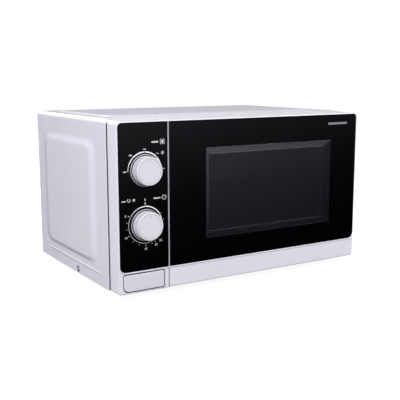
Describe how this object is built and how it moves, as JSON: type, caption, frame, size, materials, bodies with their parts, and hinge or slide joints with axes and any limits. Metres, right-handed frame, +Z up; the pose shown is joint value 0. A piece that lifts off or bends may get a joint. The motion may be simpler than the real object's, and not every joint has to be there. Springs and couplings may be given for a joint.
{
  "type": "microwave oven",
  "caption": "Countertop microwave oven with white cabinet, black door and panel film, two rotary dials, push-button door latch, side-hinged door and glass turntable.",
  "frame": {"origin": "centre of the overall box on the surface the feet stand on", "axes": "+Z up, the door and dials face -Y, +X to the right of someone facing the oven, along the width"},
  "size_m": [0.44, 0.331, 0.2565],
  "materials": {
    "cabinet_paint": "fine satin powder coat",
    "rear_paint": "satin",
    "zinc_steel": "zinc plated",
    "foot_plastic": "matte",
    "screw_steel": "bright zinc",
    "black_plastic": "matte",
    "cavity_enamel": "grey baked enamel",
    "mica": "matte",
    "copper": "lacquered",
    "fin_aluminium": "mill",
    "core_steel": "varnished laminations",
    "can_aluminium": "satin",
    "grey_plastic": "satin",
    "lamp_glass": "clear",
    "lamp_ceramic": "matte",
    "board_green": "lacquered",
    "cream_plastic": "satin",
    "red_plastic": "satin",
    "white_plastic": "soft gloss",
    "black_film": "high gloss",
    "knob_plastic": "satin",
    "shaft_steel": "bright",
    "clear_pane": "gloss",
    "screen_enamel": "black enamel",
    "cover_plastic": "fine texture",
    "tray_glass": "clear"
  },
  "bodies": {
    "oven": {"outer_cabinet": "cabinet_paint", "rear_panel": "rear_paint", "base_plate": "zinc_steel", "feet": "foot_plastic", "cabinet_screws": "screw_steel", "cord_inlet_bush": "black_plastic", "cavity_wrapper": "cavity_enamel", "cavity_floor": "cavity_enamel", "cavity_back": "cavity_enamel", "front_plate": "cavity_enamel", "waveguide": "zinc_steel", "mica_cover": "mica", "magnetron_yoke": "zinc_steel", "magnetron_anode": "copper", "magnetron_fins": "fin_aluminium", "magnetron_filter_box": "zinc_steel", "transformer_core": "core_steel", "transformer_windings": "copper", "hv_capacitor": "can_aluminium", "capacitor_clamp": "zinc_steel", "fan_motor": "core_steel", "fan_shroud": "grey_plastic", "oven_lamp": "lamp_glass", "lamp_holder": "lamp_ceramic", "thermal_cutout": "black_plastic", "filter_board": "board_green", "timer_unit": "cream_plastic", "turntable_motor": "zinc_steel", "interlock_bracket": "cream_plastic", "door_switches": "black_plastic", "lever_stand": "zinc_steel", "control_panel": "white_plastic", "panel_film": "black_film", "upper_hinge": "zinc_steel", "lower_hinge": "zinc_steel"},
    "door": {"door_frame": "white_plastic", "door_film": "black_film", "door_pane": "clear_pane", "door_screen": "screen_enamel", "inner_film": "clear_pane", "choke_cover": "cover_plastic"},
    "latch": {"latch_hooks": "grey_plastic", "latch_spring": "shaft_steel"},
    "power_dial": {"power_knob": "knob_plastic", "power_shaft": "shaft_steel"},
    "timer_dial": {"timer_knob": "knob_plastic", "timer_shaft": "shaft_steel"},
    "door_button": {"release_button": "white_plastic", "button_spring": "shaft_steel"},
    "lever": {"release_lever": "grey_plastic"},
    "plungers": {"switch_plungers": "red_plastic"},
    "fan": {"fan_blade": "grey_plastic"},
    "drive": {"turntable_coupler": "cream_plastic"},
    "tray": {"glass_tray": "tray_glass"},
    "ring": {"roller_ring": "grey_plastic"},
    "wheel_1": {"roller_1": "grey_plastic"},
    "wheel_2": {"roller_2": "grey_plastic"},
    "wheel_3": {"roller_3": "grey_plastic"}
  },
  "joints": [
    {"name": "door_swing", "type": "hinge", "parent": "oven", "child": "door", "pos_m": [0.2095, -0.1255, 0.132], "axis": [0, 0, 1], "range_deg": [0, 95]},
    {"name": "latch_lift", "type": "slide", "parent": "door", "child": "latch", "axis": [0, 0, 1], "range_m": [0, 0.003], "stiffness_N_per_m": 300, "deforming": ["latch_spring"]},
    {"name": "power_turn", "type": "hinge", "parent": "oven", "child": "power_dial", "pos_m": [-0.1752, -0.1495, 0.1854], "axis": [0, -1, 0], "range_deg": [-90, 90]},
    {"name": "timer_turn", "type": "hinge", "parent": "oven", "child": "timer_dial", "pos_m": [-0.1752, -0.1495, 0.1086], "axis": [0, -1, 0], "range_deg": [-315, 0]},
    {"name": "button_press", "type": "slide", "parent": "oven", "child": "door_button", "axis": [0, 1, 0], "range_m": [0, 0.005], "stiffness_N_per_m": 400, "deforming": ["button_spring"]},
    {"name": "lever_tilt", "type": "hinge", "parent": "oven", "child": "lever", "pos_m": [-0.14, -0.1055, 0.038], "axis": [1, 0, 0], "range_deg": [0, 21]},
    {"name": "plunger_travel", "type": "slide", "parent": "oven", "child": "plungers", "axis": [0, -1, 0], "range_m": [0, 0.0015]},
    {"name": "fan_spin", "type": "hinge", "parent": "oven", "child": "fan", "pos_m": [-0.163, 0.1285, 0.18], "axis": [0, 1, 0], "continuous": true},
    {"name": "drive_spin", "type": "hinge", "parent": "oven", "child": "drive", "pos_m": [0.046, 0.0163, 0.042], "axis": [0, 0, 1], "continuous": true},
    {"name": "tray_lift", "type": "slide", "parent": "drive", "child": "tray", "axis": [0, 0, 1], "range_m": [0, 0.04]},
    {"name": "ring_turn", "type": "hinge", "parent": "oven", "child": "ring", "pos_m": [0.046, 0.0163, 0.0453], "axis": [0, 0, 1], "continuous": true},
    {"name": "wheel_1_roll", "type": "hinge", "parent": "ring", "child": "wheel_1", "pos_m": [0.0925, 0.09684, 0.0453], "axis": [0.5, 0.866, 0], "continuous": true},
    {"name": "wheel_2_roll", "type": "hinge", "parent": "ring", "child": "wheel_2", "pos_m": [-0.047, 0.0163, 0.0453], "axis": [-1, 0, 0], "continuous": true},
    {"name": "wheel_3_roll", "type": "hinge", "parent": "ring", "child": "wheel_3", "pos_m": [0.0925, -0.06424, 0.0453], "axis": [0.5, -0.866, 0], "continuous": true}
  ],
  "couplings": [
    {"joint": "lever_tilt", "follows": "button_press", "rad_per_m": 72},
    {"joint": "latch_lift", "follows": "button_press", "ratio": 0.6},
    {"joint": "plunger_travel", "follows": "door_swing", "m_per_rad": 0.0009},
    {"joint": "ring_turn", "follows": "drive_spin", "ratio": 0.5},
    {"joint": "wheel_1_roll", "follows": "drive_spin", "ratio": -6.6429},
    {"joint": "wheel_2_roll", "follows": "drive_spin", "ratio": -6.6429},
    {"joint": "wheel_3_roll", "follows": "drive_spin", "ratio": -6.6429}
  ]
}
